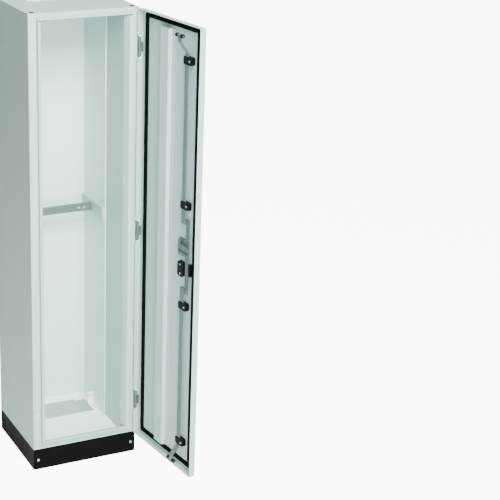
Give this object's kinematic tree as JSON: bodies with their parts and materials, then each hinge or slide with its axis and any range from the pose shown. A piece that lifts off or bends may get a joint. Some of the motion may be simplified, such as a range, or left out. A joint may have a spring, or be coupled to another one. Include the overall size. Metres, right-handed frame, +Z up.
{
  "type": "industrial switchboard cabinet",
  "caption": "Tall floor-standing electrical cabinet on a dark plinth, open door with rod lock, rolled door frame, roof cable-entry plate.",
  "frame": {"origin": "floor level, under the middle of the plinth", "axes": "+Z up, -Y towards the door opening, +X towards the hinge side"},
  "size_m": [0.5584, 0.9484, 2.068],
  "materials": {
    "grey_paint": "textured",
    "white_paint": "satin",
    "black_paint": "textured",
    "zinc_bright": "satin",
    "zinc_dark": "satin",
    "rubber": "matte",
    "black_plastic": "matte",
    "light_plastic": "matte",
    "cylinder_metal": "polished"
  },
  "bodies": {
    "cabinet": {"plinth_front": "black_paint", "plinth_rear": "black_paint", "plinth_left": "black_paint", "plinth_right": "black_paint", "plinth_corners": "black_paint", "plinth_screws": "zinc_bright", "base_fixings": "zinc_bright", "base_frame": "zinc_bright", "base_cover_plate": "zinc_bright", "left_side_panel": "grey_paint", "right_side_panel": "grey_paint", "back_panel": "grey_paint", "back_panel_screws": "zinc_bright", "roof_panel": "grey_paint", "roof_corner_plugs": "black_plastic", "roof_gland_plate": "white_paint", "cable_membranes": "light_plastic", "left_front_post": "grey_paint", "right_front_post": "grey_paint", "front_lintel": "grey_paint", "front_sill": "grey_paint", "left_side_liner": "grey_paint", "right_side_liner": "grey_paint", "floor_front_plate": "white_paint", "floor_side_strips": "white_paint", "floor_rear_rail": "white_paint", "rear_corner_brackets": "white_paint", "left_depth_rail": "grey_paint", "right_depth_rail": "grey_paint", "mounting_rail": "zinc_dark", "mounting_rail_screws": "zinc_bright", "plugs_and_clips": "light_plastic", "hinge_frame_leaves": "zinc_dark", "hinge_pins": "zinc_bright"},
    "door": {"door_panel": "grey_paint", "hinge_door_leaves": "zinc_dark", "door_gasket": "rubber", "door_stiffener": "grey_paint", "rod_guides": "black_plastic", "door_inner_screws": "zinc_bright", "lock_mounting_plate": "zinc_bright", "handle_keeper_case": "black_plastic", "drive_bar_guard": "black_plastic", "handle_base": "black_plastic"},
    "handle": {"handle_hub": "black_plastic", "lock_spindle": "zinc_dark", "lock_cam": "zinc_dark", "cam_drive_pins": "zinc_dark", "latch_tongue": "zinc_dark", "lever_pin": "zinc_bright"},
    "lever": {"handle_lever": "black_plastic"},
    "cylinder": {"key_cylinder": "cylinder_metal"},
    "upper_bolt": {"upper_rod": "zinc_bright", "upper_drive_bar": "zinc_dark", "upper_rod_fixings": "zinc_bright"},
    "lower_bolt": {"lower_rod": "zinc_bright", "lower_drive_bar": "zinc_dark", "lower_rod_fixings": "zinc_bright"},
    "upper_wheels": {"upper_rollers": "black_plastic"},
    "lower_wheels": {"lower_rollers": "black_plastic"}
  },
  "joints": [
    {"name": "door_hinge", "type": "hinge", "parent": "cabinet", "child": "door", "pos_m": [0.241, -0.2385, 1.075], "axis": [0, 0, 1], "range_deg": [-96, 24]},
    {"name": "handle_swivel", "type": "hinge", "parent": "door", "child": "handle", "pos_m": [0.30585, -0.58763, 1.12], "axis": [-0.9945, -0.1045, 0], "range_deg": [0, 90]},
    {"name": "lever_lift", "type": "hinge", "parent": "handle", "child": "lever", "pos_m": [0.30938, -0.57821, 1.12], "axis": [0, 0, -1], "range_deg": [0, 25]},
    {"name": "key_turn", "type": "hinge", "parent": "lever", "child": "cylinder", "pos_m": [0.30197, -0.46939, 1.12], "axis": [-0.9945, -0.1045, 0], "range_deg": [0, 90]},
    {"name": "upper_rod_slide", "type": "slide", "parent": "door", "child": "upper_bolt", "axis": [0, 0, 1], "range_m": [0, 0.022]},
    {"name": "lower_rod_slide", "type": "slide", "parent": "door", "child": "lower_bolt", "axis": [0, 0, -1], "range_m": [0, 0.022]},
    {"name": "upper_roller_spin", "type": "hinge", "parent": "upper_bolt", "child": "upper_wheels", "pos_m": [0.24552, -0.61157, 2.00325], "axis": [-0.1045, 0.9945, 0], "continuous": true},
    {"name": "lower_roller_spin", "type": "hinge", "parent": "lower_bolt", "child": "lower_wheels", "pos_m": [0.24552, -0.61157, 0.146], "axis": [-0.1045, 0.9945, 0], "continuous": true}
  ],
  "couplings": [
    {"joint": "upper_rod_slide", "follows": "handle_swivel", "m_per_rad": 0.014005},
    {"joint": "lower_rod_slide", "follows": "handle_swivel", "m_per_rad": 0.014005}
  ]
}
